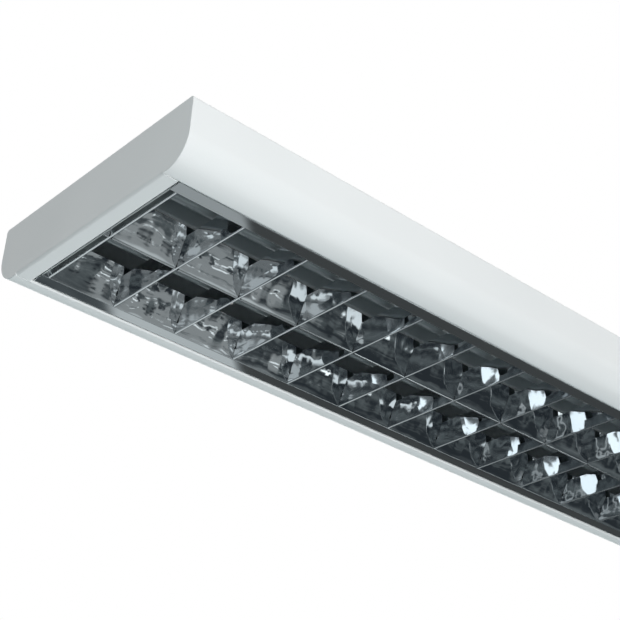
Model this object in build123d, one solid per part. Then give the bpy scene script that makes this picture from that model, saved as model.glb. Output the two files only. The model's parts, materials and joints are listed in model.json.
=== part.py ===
"""Slim twin-lamp ceiling light with a parabolic mirror louvre.

Millimetres, +Z up. The origin is the middle of the flat top that lies on the ceiling, X runs along
the lamps, and the louvre swings down about its long edge on the +Y side. "near" is the -X end,
"far" the +X end, "front" the -Y side and "rear" the +Y side.
"""
import os

from build123d import *

# Lamps: straight 16 mm fluorescent tubes with two-pin caps
LAMP_LENGTH = 1149.0  # between the two cap faces
TUBE_RADIUS = 8.0
TUBE_WALL = 0.8
CAP_WALL = 0.3
CAP_LENGTH = 12.0
CAP_END = 2.0  # thickness of the closed end of a cap
LAMP_PIN_RADIUS = 1.18
LAMP_PIN_LENGTH = 7.1
LAMP_PIN_SPACING = 4.75
LAMP_DROP = 16.0  # lamp axis below the ceiling

# Housing of folded steel sheet
END_ROOM = 17.5  # from a lamp's cap face to the outside of the end cap
WIDTH = 243.0
HEIGHT = 52.0
STEEL = 0.8
TOP_BEND = 3.0  # outside radius of the two top edges
RIM_ROUND = 23.0  # outside radius of the two lower edges
RIM_FLAT = 4.0  # level strip between the round edge and the lip
LIP_HEIGHT = 8.0
LIP_BEND = 1.2  # outside radius where a rim turns up into its lip
FIXING_SPACING_X = 800.0
FIXING_SPACING_Y = 160.0
FIXING_RADIUS = 3.0
ENTRY_RADIUS = 10.0  # cable entry hole
ENTRY_X = -160.0

# End caps
END_RIM = 13.8  # level rim under an end cap
END_BEND = 2.5
END_LIP = 10.0
END_EDGE = 0.5  # rounding round the face of an end cap
SEAM = 0.2  # between an end rim and the two long rims
TAB_DEPTH = 11.0
TOP_TAB_WIDTH = 44.0
TAB_ROOM = 8.0  # from a lampholder bracket to the top tabs
SIDE_TAB_HEIGHT = 16.0

# Louvre of mirror aluminium
CELLS = 19
LOUVRE_RECESS = 1.0  # underside of the louvre above the underside of the rims
LOUVRE_GAP = 1.5  # from the louvre's flanges to the long lips
LOUVRE_END_GAP = 1.8
LOUVRE_BELOW_COVER = 1.2
FLANGE = 11.75
UPSTAND = 3.0
END_BLADE_IN = 6.4  # from the louvre's end to the middle of its last blade
END_WALL = 11.0
MIRROR_SHEET = 0.6
WALL_SHEET = 0.8
RIDGE_FOOT = 2.0  # width of the centre reflector's lower edge
FLANK_LEAN = 6.1  # from a flank's foot to the point where its end tangents meet
FLANK_REACH = 18.25  # from a flank's foot to its upper edge
FLANK_WAIST = 0.51  # share of the height at which a flank's end tangents meet
BLADE_SHEET = 0.5
BLADE_FOOT = 1.8
BLADE_LEAN = 1.35
BLADE_REACH = 3.25
BLADE_WAIST = 0.45
BLADE_BELOW_LAMP = 5.6
BLADE_FIT = 0.2
TAB_FOOT = 8.0
TAB_HEIGHT = 5.0
TAB_OUT = 1.2  # past the flank at the tab's lower edge
BRIDGE_HEIGHT = 4.0

# Louvre pivots and catches
PIVOT_IN = 2.5  # in from the louvre's long edge
PIVOT_UP = 2.5  # above the louvre's underside
PIVOT_RADIUS = 1.25
PIVOT_HEAD = 1.0
PIVOT_PAST_LIP = 1.4
RUNNING_FIT = 0.05
PRESS_FIT = 0.02
CATCH_STRIP = 0.4
CATCH_WIDTH = 12.0
CATCH_IN = 8.0  # in from the louvre's long edge
CATCH_LEG = 6.0
CATCH_FIT = 0.1
CATCH_TOUCH = 0.3

# Lampholders and their brackets
HOLDER_GAP = 0.4
HOLDER_DEPTH = 13.0
HOLDER_WIDTH = 22.0
HOLDER_TOP_GAP = 1.2  # under the bracket's foot
HOLDER_BELOW = 10.5  # below the lamp axis
HOLDER_ROUND = 6.0
ROTOR_RADIUS = 7.0
ROTOR_DEPTH = 9.0
ROTOR_FIT = 0.1
PIN_FIT = 0.12
ENTRY_FIT = 0.42
PEG_RADIUS = 2.0
PEG_LENGTH = 1.8
PEG_SPACING = 12.0
BRACKET_SHEET = 1.0
BRACKET_FOOT = 27.0
BRACKET_MARGIN = 4.0
BRACKET_STUD_Y = 22.0
BRACKET_STUD_IN = 9.0

# Ballast, terminals and gear cover
BALLAST_X = 82.0  # near end of the ballast's terminals
BALLAST_LENGTH = 336.0
BALLAST_WIDTH = 30.0
BALLAST_HEIGHT = 21.0
BALLAST_EDGE = 1.5
BALLAST_FOOT = 16.0
BALLAST_FOOT_SHEET = 1.0
BALLAST_TERMINAL = 18.0
BALLAST_TERMINAL_WIDTH = 26.0
BALLAST_TERMINAL_HEIGHT = 14.0
COVER_BEND = 2.0  # outside radius of the gear cover's two lower edges
COVER_ROOM = 0.8  # under the ballast
COVER_SIDE_ROOM = 4.2  # beside the ballast
COVER_FLANGE = 9.0
COVER_END_ROOM = 6.0  # from the cover to a bracket's foot
COVER_STUD_IN = 56.0  # from the ends of the cover
BLOCK_X = -37.0
BLOCK_LENGTH = 34.0
BLOCK_WIDTH = 16.0
BLOCK_HEIGHT = 15.0
BLOCK_SCREW_RADIUS = 1.6
BLOCK_SCREW_LENGTH = 6.0
BLOCK_SCREW_SINK = 1.0
POLE_SPACING = 4.5
GROMMET_FLANGE = 3.0
GROMMET_THICK = 2.0

# Fasteners and leads
STUD_RADIUS = 2.0
STUD_LENGTH = 7.2
STUD_HOLE_FIT = 0.2
NUT_FLATS = 7.0
NUT_HEIGHT = 3.2
EARTH_X = -95.0
EARTH_MARGIN = 1.0  # ring tag past the corners of its nut
EARTH_BARREL = 10.0
EARTH_BARREL_RADIUS = 1.5
LEAD_RADIUS = 1.2
LEAD_DROP = 10.0
LEAD_ROOM = 0.8  # beside the terminal block
LEAD_BEND = 8.0
LEAD_TOUCH = 0.1

# Worked out from the sizes above
half_length = LAMP_LENGTH / 2 + END_ROOM
shell_end = half_length - STEEL
mouth = WIDTH / 2 - RIM_ROUND - RIM_FLAT
lip_face = half_length - END_RIM
louvre_end = lip_face - LOUVRE_END_GAP
louvre_edge = mouth - LOUVRE_GAP
louvre_base = LOUVRE_RECESS - HEIGHT
channel_edge = louvre_edge - FLANGE
channel_middle = (channel_edge + RIDGE_FOOT / 2) / 2
cover_drop = STEEL + BALLAST_HEIGHT + COVER_ROOM + STEEL
flank_height = -louvre_base - cover_drop - LOUVRE_BELOW_COVER
blade_height = -louvre_base - LAMP_DROP - TUBE_RADIUS - BLADE_BELOW_LAMP
end_blade = louvre_end - END_BLADE_IN
pitch = 2 * end_blade / CELLS
wall_room = louvre_end - WALL_SHEET - BLADE_FIT
pivot_y = louvre_edge - PIVOT_IN
pivot_z = louvre_base + PIVOT_UP
pivot_head = min(PIVOT_IN, PIVOT_UP) - MIRROR_SHEET - BLADE_FIT
cap_face = LAMP_LENGTH / 2
holder_face = cap_face + HOLDER_GAP
holder_top = -STEEL - BRACKET_SHEET - HOLDER_TOP_GAP
holder_base = -LAMP_DROP - HOLDER_BELOW
bracket_face = holder_face + HOLDER_DEPTH
bracket_reach = channel_middle + HOLDER_WIDTH / 2 + BRACKET_MARGIN
bracket_foot = bracket_face + BRACKET_SHEET - BRACKET_FOOT
bracket_stud_x = bracket_foot + BRACKET_STUD_IN
cover_end = bracket_foot - COVER_END_ROOM
cover_half = BALLAST_WIDTH / 2 + COVER_SIDE_ROOM + STEEL
cover_stud_x = cover_end - COVER_STUD_IN
cover_stud_y = cover_half + COVER_FLANGE / 2
case_start = BALLAST_X + BALLAST_TERMINAL
case_end = case_start + BALLAST_LENGTH
ballast_studs = (BALLAST_X - BALLAST_FOOT / 2, case_end + BALLAST_TERMINAL + BALLAST_FOOT / 2)
stud_hole = STUD_RADIUS + STUD_HOLE_FIT
earth_ring = NUT_FLATS / 3**0.5 + EARTH_MARGIN
lead_y = BLOCK_WIDTH / 2 + LEAD_RADIUS + LEAD_ROOM


def along_x(section, start, end):
    """Carry a Y-Z section from one X station to another."""
    return extrude(Plane.YZ.offset(start) * section, amount=end - start)


def along_y(section, reach):
    """Carry an X-Z section to both sides of the middle plane."""
    return extrude(Plane.XZ * section, amount=reach, both=True)


def rod(radius, start, end):
    """Round bar between two points."""
    axis = Vector(*end) - Vector(*start)
    return extrude(Plane(origin=start, z_dir=axis) * Circle(radius), amount=axis.length)


def block(x, y, z):
    """Box given by its lowest and highest value on each axis."""
    middle = [(low + high) / 2 for low, high in (x, y, z)]
    return Pos(*middle) * Box(x[1] - x[0], y[1] - y[0], z[1] - z[0])


def panel(low, high):
    """Rectangle between two opposite corners."""
    middle = [(a + b) / 2 for a, b in zip(low, high)]
    return Pos(*middle) * Rectangle(high[0] - low[0], high[1] - low[1])


def round_corner(section, point, radius):
    """Round the corner of a section that lies at the given point."""
    return fillet(section.vertices().sort_by_distance((*point, 0))[0], radius)


def mirrored(shape):
    """The same shape at the near end."""
    return mirror(shape, about=Plane.YZ)


def group(shapes):
    """Separate solids that share one node."""
    return Compound([solid for shape in shapes for solid in shape.solids()])


def save(name, shape):
    export_step(shape, f"parts/{name}.step")


def housing_outline(inset):
    """Cross-section of the body, drawn in from its outside."""
    outline = panel((inset - WIDTH / 2, inset - HEIGHT), (WIDTH / 2 - inset, -inset))
    outline = fillet(outline.vertices().group_by(Axis.Y)[-1], TOP_BEND - inset)
    return fillet(outline.vertices().group_by(Axis.Y)[0], RIM_ROUND - inset)


def housing_shell():
    """One folded sheet: flat top, round lower edges, and rims that turn up into lips."""
    section = housing_outline(0) - housing_outline(STEEL)
    section -= panel((-mouth, -HEIGHT), (mouth, -HEIGHT + 2 * STEEL))
    for side in (-1, 1):
        inner, outer = sorted((side * mouth, side * (mouth + STEEL)))
        section += panel((inner, -HEIGHT), (outer, -HEIGHT + LIP_HEIGHT))
    for side in (-1, 1):
        section = round_corner(section, (side * mouth, -HEIGHT), LIP_BEND)
    shell = along_x(section, -shell_end, shell_end)
    fixings = GridLocations(FIXING_SPACING_X, FIXING_SPACING_Y, 2, 2)
    shell -= fixings * Cylinder(FIXING_RADIUS, 4 * STEEL)
    return shell - Pos(ENTRY_X, 0) * Cylinder(ENTRY_RADIUS, 4 * STEEL)


def end_rim_section():
    """Bottom of an end cap in the X-Z plane: face, bend, level rim and inner lip."""
    base = -HEIGHT
    section = panel((shell_end, base), (half_length, base + 2 * END_BEND))
    section += panel((lip_face, base), (half_length, base + STEEL))
    section += panel((lip_face, base), (lip_face + STEEL, base + END_LIP))
    section = round_corner(section, (half_length, base), END_BEND)
    section = round_corner(section, (shell_end, base + STEEL), END_BEND - STEEL)
    return round_corner(section, (lip_face, base), LIP_BEND)


def end_cap():
    """Pressed cap at the far end, with welding tabs inside and a pivot hole in its lip."""
    reach = mouth - SEAM
    plate = along_x(housing_outline(0), shell_end, half_length)
    plate = fillet(plate.faces().sort_by(Axis.X)[-1].edges(), END_EDGE)
    plate -= block((shell_end, half_length), (-reach, reach), (-HEIGHT, -HEIGHT + END_BEND))
    cap = plate + along_y(end_rim_section(), reach)
    tab = (shell_end - TAB_DEPTH, shell_end)
    for side in (-1, 1):
        inner = bracket_reach + TAB_ROOM
        y = sorted((side * inner, side * (inner + TOP_TAB_WIDTH)))
        cap += block(tab, y, (-2 * STEEL, -STEEL))
        y = sorted((side * (WIDTH / 2 - STEEL), side * (WIDTH / 2 - 2 * STEEL)))
        cap += block(tab, y, (RIM_ROUND - HEIGHT, RIM_ROUND - HEIGHT + SIDE_TAB_HEIGHT))
    hole = rod(PIVOT_RADIUS + RUNNING_FIT, (louvre_end, pivot_y, pivot_z), (shell_end, pivot_y, pivot_z))
    return cap - hole


def parabola(foot, lean, reach, height, waist):
    """Curved flank of a reflector, rising from its foot and leaning over towards +X of the sketch."""
    x, y = foot
    return Bezier((x, y), (x + lean, y + waist * height), (x + reach, y + height))


def fold(foot_width, lean, reach, height, waist, sheet):
    """V-shaped fold of thin sheet with two parabolic flanks, standing on its narrow foot."""
    def wedge(inset):
        foot = foot_width / 2 - inset
        right = parabola((foot, 0), lean, reach, height, waist)
        left = mirror(right, about=Plane.YZ)
        return make_face([right, left, Line(left @ 0, right @ 0), Line(left @ 1, right @ 1)])

    hollow = wedge(sheet) - panel((-foot_width, 0), (foot_width, sheet))
    return wedge(0) - hollow


def side_flank(inset):
    """Inner face of the rear channel's outer flank, as a curve in the Y-Z plane."""
    foot = (channel_edge - inset, louvre_base)
    return parabola(foot, -FLANK_LEAN, -FLANK_REACH, flank_height, FLANK_WAIST)


def ridge_flank(inset):
    """Face of the centre reflector that looks into the rear channel."""
    foot = (RIDGE_FOOT / 2 + inset, louvre_base)
    return parabola(foot, FLANK_LEAN, FLANK_REACH, flank_height, FLANK_WAIST)


def between(first, second):
    """Face between two curves that rise side by side."""
    return make_face([first, second, Line(first @ 0, second @ 0), Line(first @ 1, second @ 1)])


def blade_stations():
    """X of every blade; the first and the last are part of the two end pieces."""
    return [-end_blade + pitch * number for number in range(CELLS + 1)]


def blade_tab_y():
    """How far a blade's tabs reach through the side reflectors."""
    level = Line((0, louvre_base + TAB_FOOT), (louvre_edge, louvre_base + TAB_FOOT))
    flank_y = side_flank(0).find_intersection_points(level)[0].X
    return flank_y + MIRROR_SHEET + TAB_OUT


def cross_blade():
    """Blade at X = 0 through both channels, cut to the reflectors and tabbed into them."""
    section = Pos(0, louvre_base) * fold(
        BLADE_FOOT, BLADE_LEAN, BLADE_REACH, blade_height, BLADE_WAIST, BLADE_SHEET)
    tab = (louvre_base + TAB_FOOT, louvre_base + TAB_FOOT + TAB_HEIGHT)
    channel = between(ridge_flank(BLADE_FIT), side_flank(BLADE_FIT))
    channel += panel((channel_middle, tab[0]), (blade_tab_y(), tab[1]))
    envelope = channel + mirror(channel, about=Plane.YZ)
    envelope += panel((-channel_middle, louvre_base), (channel_middle, louvre_base + BRIDGE_HEIGHT))
    reach = BLADE_FOOT + BLADE_REACH
    return along_y(section, blade_tab_y()) & along_x(envelope, -reach, reach)


def blade_reach_at(height):
    """Half width of a blade's outside at a height above its foot."""
    flank = parabola((BLADE_FOOT / 2, 0), BLADE_LEAN, BLADE_REACH, blade_height, BLADE_WAIST)
    level = Line((0, height), (BLADE_FOOT + BLADE_REACH, height))
    return flank.find_intersection_points(level)[0].X


def side_reflector():
    """Rear side reflector: flat flange, small upstand, parabolic flank and slots for the tabs."""
    face = side_flank(0)
    back = side_flank(-MIRROR_SHEET)
    section = between(face, back)
    section += panel((channel_edge, louvre_base), (louvre_edge, louvre_base + MIRROR_SHEET))
    section += panel((louvre_edge - MIRROR_SHEET, louvre_base), (louvre_edge, louvre_base + UPSTAND))
    reflector = along_x(section, -louvre_end, louvre_end)
    above = (louvre_base + MIRROR_SHEET, louvre_base + flank_height)
    for x in ((-louvre_end, -wall_room), (wall_room, louvre_end)):
        reflector -= block(x, (0, louvre_edge), above)
    reach = blade_reach_at(TAB_FOOT + TAB_HEIGHT) + BLADE_FIT
    near_web = blade_reach_at(TAB_FOOT) - BLADE_SHEET - BLADE_FIT
    slot_z = (louvre_base + TAB_FOOT - BLADE_FIT, louvre_base + TAB_FOOT + TAB_HEIGHT + BLADE_FIT)
    slot_y = (channel_edge - FLANK_REACH, blade_tab_y())
    slots = [block((near_web, reach), slot_y, slot_z), block((-reach, -near_web), slot_y, slot_z)]
    return reflector - [Pos(x) * slot for x in blade_stations() for slot in slots]


def centre_reflector():
    """Folded ridge between the two channels, notched where the blades pass through its foot."""
    section = Pos(0, louvre_base) * fold(
        RIDGE_FOOT, FLANK_LEAN, FLANK_REACH, flank_height, FLANK_WAIST, MIRROR_SHEET)
    ridge = along_x(section, -wall_room, wall_room)
    notch_x = blade_reach_at(BRIDGE_HEIGHT) + BLADE_FIT
    notch_z = (louvre_base, louvre_base + BRIDGE_HEIGHT + BLADE_FIT)
    notch = block((-notch_x, notch_x), (-channel_middle, channel_middle), notch_z)
    return ridge - [Pos(x) * notch for x in blade_stations()]


def louvre_end_piece():
    """Far end of the louvre: the last blade, and a pivot wall joined to it by a narrow web."""
    web_x = (end_blade + blade_reach_at(END_WALL) - BLADE_SHEET / 2, louvre_end)
    web_z = (louvre_base + END_WALL - WALL_SHEET, louvre_base + END_WALL)
    channel = between(ridge_flank(BLADE_FIT), side_flank(BLADE_FIT))
    web = along_x(channel + mirror(channel, about=Plane.YZ), *web_x)
    web = web & block(web_x, (-louvre_edge, louvre_edge), web_z)
    reach = louvre_edge - MIRROR_SHEET
    wall_z = (louvre_base + MIRROR_SHEET, louvre_base + END_WALL)
    wall = block((louvre_end - WALL_SHEET, louvre_end), (-reach, reach), wall_z)
    hole = rod(PIVOT_RADIUS + PRESS_FIT, (wall_room, pivot_y, pivot_z), (louvre_end, pivot_y, pivot_z))
    return Pos(end_blade) * cross_blade() + web + wall - hole


def pivot_pin():
    """Headed pin riveted in the louvre's far wall that turns in the end cap's lip."""
    wall = louvre_end - WALL_SHEET
    tip = lip_face + STEEL + PIVOT_PAST_LIP
    head = rod(pivot_head, (wall - PIVOT_HEAD, pivot_y, pivot_z), (wall, pivot_y, pivot_z))
    return head + rod(PIVOT_RADIUS, (wall, pivot_y, pivot_z), (tip, pivot_y, pivot_z))


def catch_spring():
    """Spring clip over the far end lip whose bulge bears on the louvre's end wall."""
    top = END_LIP - HEIGHT + CATCH_FIT + CATCH_STRIP / 2
    outside = lip_face + STEEL + CATCH_FIT + CATCH_STRIP / 2
    inside = lip_face - CATCH_FIT - CATCH_STRIP / 2
    bulge = louvre_end + CATCH_TOUCH + CATCH_STRIP / 2
    foot = top - CATCH_LEG
    path = Polyline((outside, foot), (outside, top), (inside, top), (bulge, (top + foot) / 2), (inside, foot))
    strip = trace(path, CATCH_STRIP)
    y = -louvre_edge + CATCH_IN
    return extrude(Plane.XZ.offset(-y) * strip, amount=CATCH_WIDTH / 2, both=True)


def lamp(y):
    """Glass tube, caps, contact pins and the two rotors that turn with them."""
    cap_radius = TUBE_RADIUS + CAP_WALL
    tube_end = cap_face - CAP_END
    tube = rod(TUBE_RADIUS, (-tube_end, y, -LAMP_DROP), (tube_end, y, -LAMP_DROP))
    tube -= rod(TUBE_RADIUS - TUBE_WALL, (-tube_end, y, -LAMP_DROP), (tube_end, y, -LAMP_DROP))
    cap = rod(cap_radius, (cap_face - CAP_LENGTH, y, -LAMP_DROP), (cap_face, y, -LAMP_DROP))
    cap -= rod(TUBE_RADIUS + PRESS_FIT, (0, y, -LAMP_DROP), (tube_end, y, -LAMP_DROP))
    pins = []
    for side in (-1, 1):
        pin_y = y + side * LAMP_PIN_SPACING / 2
        pins.append(rod(LAMP_PIN_RADIUS, (cap_face, pin_y, -LAMP_DROP),
                        (cap_face + LAMP_PIN_LENGTH, pin_y, -LAMP_DROP)))
    start = holder_face + ROTOR_FIT
    rotor = rod(ROTOR_RADIUS, (start, y, -LAMP_DROP), (start + ROTOR_DEPTH, y, -LAMP_DROP))
    slot_end = cap_face + LAMP_PIN_LENGTH + ROTOR_FIT
    slot = LAMP_PIN_RADIUS + PIN_FIT
    rotor -= block((start, slot_end), (y - ROTOR_RADIUS, y + ROTOR_RADIUS),
                   (-LAMP_DROP - slot, -LAMP_DROP + slot))
    return {
        "tube": tube,
        "caps": group([mirrored(cap), cap]),
        "pins": group([mirrored(pin) for pin in pins] + pins),
        "rotors": group([mirrored(rotor), rotor]),
    }


def lampholder(y):
    """Push-in holder at the far end: rotor seat, entry slot to below and two fixing pegs."""
    outline = panel((y - HOLDER_WIDTH / 2, holder_base), (y + HOLDER_WIDTH / 2, holder_top))
    outline = fillet(outline.vertices().group_by(Axis.Y)[0], HOLDER_ROUND)
    body = along_x(outline, holder_face, bracket_face)
    seat_end = holder_face + ROTOR_DEPTH + 2 * ROTOR_FIT
    body -= rod(ROTOR_RADIUS + ROTOR_FIT, (holder_face, y, -LAMP_DROP), (seat_end, y, -LAMP_DROP))
    slot = LAMP_PIN_RADIUS + ENTRY_FIT
    body -= block((holder_face, seat_end), (y - slot, y + slot), (holder_base, -LAMP_DROP))
    return body + holder_pegs(y, PEG_RADIUS, PEG_LENGTH)


def holder_pegs(y, radius, past):
    """Two pegs behind a lampholder, side by side above the lamp axis."""
    z = (holder_top - LAMP_DROP) / 2
    pegs = Part()
    for side in (-1, 1):
        peg_y = y + side * PEG_SPACING / 2
        pegs += rod(radius, (bracket_face, peg_y, z), (bracket_face + past, peg_y, z))
    return pegs


def lampholder_bracket():
    """Folded bracket under the far end of the top that carries two lampholders."""
    y = (-bracket_reach, bracket_reach)
    back = bracket_face + BRACKET_SHEET
    bracket = block((bracket_face, back), y, (holder_base, -STEEL))
    bracket += block((bracket_foot, back), y, (-STEEL - BRACKET_SHEET, -STEEL))
    for side in (-1, 1):
        bracket -= holder_pegs(side * channel_middle, PEG_RADIUS + ROTOR_FIT, BRACKET_SHEET)
        bracket -= Pos(bracket_stud_x, side * BRACKET_STUD_Y) * Cylinder(stud_hole, 8 * STEEL)
    return bracket


def gear_cover():
    """Channel over the ballast and wiring, screwed up by its two flanges."""
    section = panel((-cover_half, -cover_drop), (cover_half, -STEEL))
    section -= panel((STEEL - cover_half, STEEL - cover_drop), (cover_half - STEEL, -STEEL))
    for side in (-1, 1):
        inner, outer = sorted((side * (cover_half - STEEL), side * (cover_half + COVER_FLANGE)))
        section += panel((inner, -2 * STEEL), (outer, -STEEL))
    for side in (-1, 1):
        section = round_corner(section, (side * cover_half, -cover_drop), COVER_BEND)
        inside = (side * (cover_half - STEEL), STEEL - cover_drop)
        section = round_corner(section, inside, COVER_BEND - STEEL)
    cover = along_x(section, -cover_end, cover_end)
    return cover - [Pos(x, y) * Cylinder(stud_hole, 6 * STEEL) for x, y in cover_studs()]


def cover_studs():
    """Places of the gear cover's studs, three along each flange."""
    return [(x, side * cover_stud_y) for x in (-cover_stud_x, 0, cover_stud_x) for side in (-1, 1)]


def ballast_case():
    """Sheet-metal ballast case with a slotted foot at each end."""
    half = BALLAST_WIDTH / 2
    case = block((case_start, case_end), (-half, half), (-STEEL - BALLAST_HEIGHT, -STEEL))
    case = fillet(case.edges().filter_by(Axis.X).group_by(Axis.Z)[0], BALLAST_EDGE)
    foot = BALLAST_FOOT + BALLAST_TERMINAL
    for start, end in ((case_start - foot, case_start), (case_end, case_end + foot)):
        case += block((start, end), (-half, half), (-STEEL - BALLAST_FOOT_SHEET, -STEEL))
    return case - [Pos(x) * Cylinder(stud_hole, 8 * STEEL) for x in ballast_studs]


def ballast_terminals():
    """Push-wire terminals on the two feet of the ballast."""
    half = BALLAST_TERMINAL_WIDTH / 2
    top = -STEEL - BALLAST_FOOT_SHEET
    spans = ((BALLAST_X, case_start), (case_end, case_end + BALLAST_TERMINAL))
    return group([block(x, (-half, half), (top - BALLAST_TERMINAL_HEIGHT, top)) for x in spans])


def block_screw_places():
    """Two clamping screws for each of the three poles."""
    reach = BLOCK_LENGTH / 4
    return [(BLOCK_X + side * reach, pole * POLE_SPACING) for side in (-1, 1) for pole in (-1, 0, 1)]


def mains_terminal_block():
    """Three-pole terminal block whose screws are reached from below."""
    half = BLOCK_LENGTH / 2
    base = -STEEL - BLOCK_HEIGHT
    body = block((BLOCK_X - half, BLOCK_X + half), (-BLOCK_WIDTH / 2, BLOCK_WIDTH / 2), (base, -STEEL))
    top = base + BLOCK_SCREW_SINK + BLOCK_SCREW_LENGTH
    return body - [rod(BLOCK_SCREW_RADIUS + RUNNING_FIT, (x, y, base), (x, y, top))
                   for x, y in block_screw_places()]


def mains_terminal_screws():
    base = -STEEL - BLOCK_HEIGHT + BLOCK_SCREW_SINK
    return group([rod(BLOCK_SCREW_RADIUS, (x, y, base), (x, y, base + BLOCK_SCREW_LENGTH))
                  for x, y in block_screw_places()])


def cable_grommet():
    """Rubber grommet with a closed membrane, flush with the top and flanged inside."""
    plug = Pos(ENTRY_X, 0, -STEEL / 2) * Cylinder(ENTRY_RADIUS - PRESS_FIT, STEEL)
    z = -STEEL - GROMMET_THICK / 2
    return plug + Pos(ENTRY_X, 0, z) * Cylinder(ENTRY_RADIUS + GROMMET_FLANGE, GROMMET_THICK)


def stud_places():
    """X, Y and clamped thickness at every weld stud under the top."""
    places = [(x, y, STEEL) for x, y in cover_studs()]
    places += [(x, 0, BALLAST_FOOT_SHEET) for x in ballast_studs]
    places += [(EARTH_X, 0, STEEL)]
    for end in (-1, 1):
        places += [(end * bracket_stud_x, side * BRACKET_STUD_Y, BRACKET_SHEET) for side in (-1, 1)]
    return places


def weld_studs():
    return group([rod(STUD_RADIUS, (x, y, -STEEL), (x, y, -STEEL - STUD_LENGTH))
                  for x, y, clamped in stud_places()])


def stud_nuts():
    hexagon = RegularPolygon(NUT_FLATS / 2, 6, major_radius=False) - Circle(STUD_RADIUS + PRESS_FIT)
    return group([Pos(x, y, -STEEL - clamped - NUT_HEIGHT) * extrude(hexagon, NUT_HEIGHT)
                  for x, y, clamped in stud_places()])


def earth_tag():
    """Ring tag under the earth nut with a crimped barrel."""
    ring = Pos(EARTH_X, 0, -1.5 * STEEL) * Cylinder(earth_ring, STEEL)
    z = -STEEL - EARTH_BARREL_RADIUS
    barrel = rod(EARTH_BARREL_RADIUS, (EARTH_X + earth_ring - EARTH_MARGIN / 2, 0, z),
                 (EARTH_X + earth_ring + EARTH_BARREL, 0, z))
    return ring + barrel - Pos(EARTH_X, 0) * Cylinder(STUD_RADIUS + PRESS_FIT, 6 * STEEL)


def earth_lead():
    z = -STEEL - EARTH_BARREL_RADIUS
    start = EARTH_X + earth_ring + EARTH_BARREL + LEAD_TOUCH
    return rod(LEAD_RADIUS, (start, 0, z), (BLOCK_X - BLOCK_LENGTH / 2 - LEAD_TOUCH, 0, z))


def mains_leads():
    start = BLOCK_X + BLOCK_LENGTH / 2 + LEAD_TOUCH
    return group([rod(LEAD_RADIUS, (start, side * POLE_SPACING, -LEAD_DROP),
                      (BALLAST_X - LEAD_TOUCH, side * POLE_SPACING, -LEAD_DROP)) for side in (-1, 1)])


def lamp_lead(start, end, side):
    """Sleeved pair from a ballast terminal along the channel and across to a lampholder."""
    turn = end * (holder_face + HOLDER_DEPTH / 2)
    holder_side = channel_middle - HOLDER_WIDTH / 2 - LEAD_TOUCH
    route = FilletPolyline((start, side * lead_y, -LEAD_DROP), (turn, side * lead_y, -LEAD_DROP),
                           (turn, side * holder_side, -LEAD_DROP), radius=LEAD_BEND)
    section = Plane(origin=route @ 0, z_dir=route % 0) * Circle(LEAD_RADIUS)
    return sweep(section, path=route)


def lamp_leads(start, end):
    return group([lamp_lead(start, end, side) for side in (-1, 1)])


os.makedirs("parts", exist_ok=True)

save("housing_shell", housing_shell())
far_cap = end_cap()
save("end_cap_far", far_cap)
save("end_cap_near", mirrored(far_cap))

rear_reflector = side_reflector()
save("side_reflector_rear", rear_reflector)
save("side_reflector_front", mirror(rear_reflector, about=Plane.XZ))
save("centre_reflector", centre_reflector())
blade = cross_blade()
for number, station in enumerate(blade_stations()[1:-1], start=1):
    save(f"cross_blade_{number:02d}", Pos(station) * blade)
far_end = louvre_end_piece()
save("louvre_end_far", far_end)
save("louvre_end_near", mirrored(far_end))
far_pin = pivot_pin()
save("louvre_pivot_pins", group([mirrored(far_pin), far_pin]))
far_catch = catch_spring()
save("catch_spring_far", far_catch)
save("catch_spring_near", mirrored(far_catch))

for name, y in (("front", -channel_middle), ("rear", channel_middle)):
    for piece, shape in lamp(y).items():
        save(f"lamp_{name}_{piece}", shape)
    far_holder = lampholder(y)
    save(f"lampholder_far_{name}", far_holder)
    save(f"lampholder_near_{name}", mirrored(far_holder))
far_bracket = lampholder_bracket()
save("lampholder_bracket_far", far_bracket)
save("lampholder_bracket_near", mirrored(far_bracket))

save("gear_cover", gear_cover())
save("ballast_case", ballast_case())
save("ballast_terminals", ballast_terminals())
save("mains_terminal_block", mains_terminal_block())
save("mains_terminal_screws", mains_terminal_screws())
save("cable_grommet", cable_grommet())
save("weld_studs", weld_studs())
save("stud_nuts", stud_nuts())
save("earth_tag", earth_tag())
save("earth_lead", earth_lead())
save("mains_leads", mains_leads())
save("lamp_leads_near", lamp_leads(BALLAST_X - LEAD_TOUCH, -1))
save("lamp_leads_far", lamp_leads(case_end + BALLAST_TERMINAL + LEAD_TOUCH, 1))
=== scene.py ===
# %% [markdown]
# # A slim ceiling light with a mirror louvre
#
# The light lies flat on a ceiling and is seen from below: a white steel body with soft lower edges and,
# set into it, a louvre of bright mirror aluminium under two thin fluorescent lamps. The solids come in as
# a fixed frame. The sheets that show are drawn again as smooth meshes, because a long curved solid arrives
# with coarse facets, and a mirror would show every one of them.

# %% Load the frame
import json
import math

import bmesh
import bpy
from mathutils import Matrix, Vector

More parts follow.
